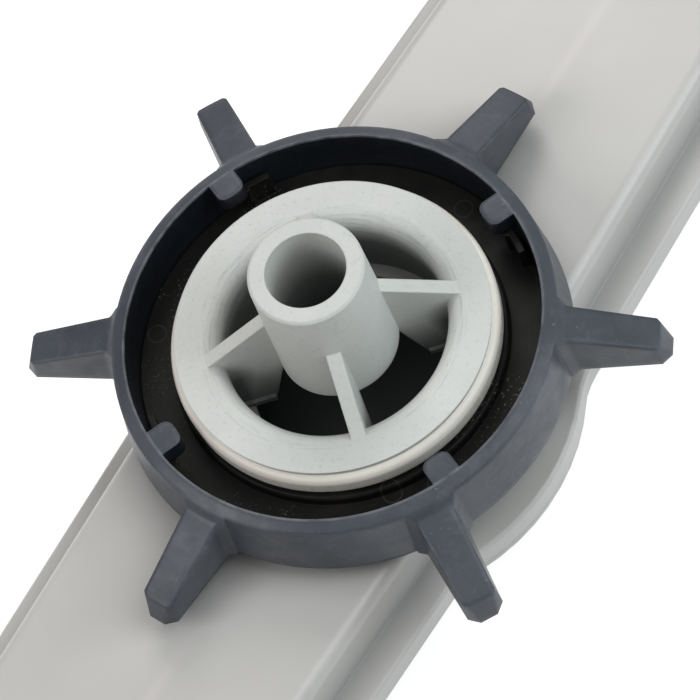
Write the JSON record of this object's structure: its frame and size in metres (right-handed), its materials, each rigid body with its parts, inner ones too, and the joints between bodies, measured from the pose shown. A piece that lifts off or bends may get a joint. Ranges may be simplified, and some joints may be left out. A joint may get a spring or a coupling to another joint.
{
  "type": "dishwasher spray arm",
  "caption": "Long hollow dishwasher spray arm with tapered ends, ribbed hub with a central tube, and a winged bayonet ring that turns freely round the hub.",
  "frame": {"origin": "on the hub's axis, in the flat face on the nozzle side on which the arm rests", "axes": "+Z along the hub's axis, out of the hub's mouth; +X along the arm; +Y across it"},
  "size_m": [0.46, 0.0746, 0.0442],
  "materials": {
    "arm_plastic": "satin",
    "hub_plastic": "satin",
    "slide_plastic": "smooth",
    "plate_plastic": "glossy",
    "ring_plastic": "matt"
  },
  "bodies": {
    "spray_arm": {"arm_hub_side_shell": "arm_plastic", "arm_nozzle_side_shell": "arm_plastic", "hub": "hub_plastic", "slide_ring": "slide_plastic"},
    "lock": {"locking_ring": "ring_plastic", "bearing_plate": "plate_plastic"}
  },
  "joints": [
    {"name": "lock_turn", "type": "hinge", "parent": "spray_arm", "child": "lock", "pos_m": [0, 0, 0.0228], "axis": [0, 0, 1], "continuous": true}
  ]
}
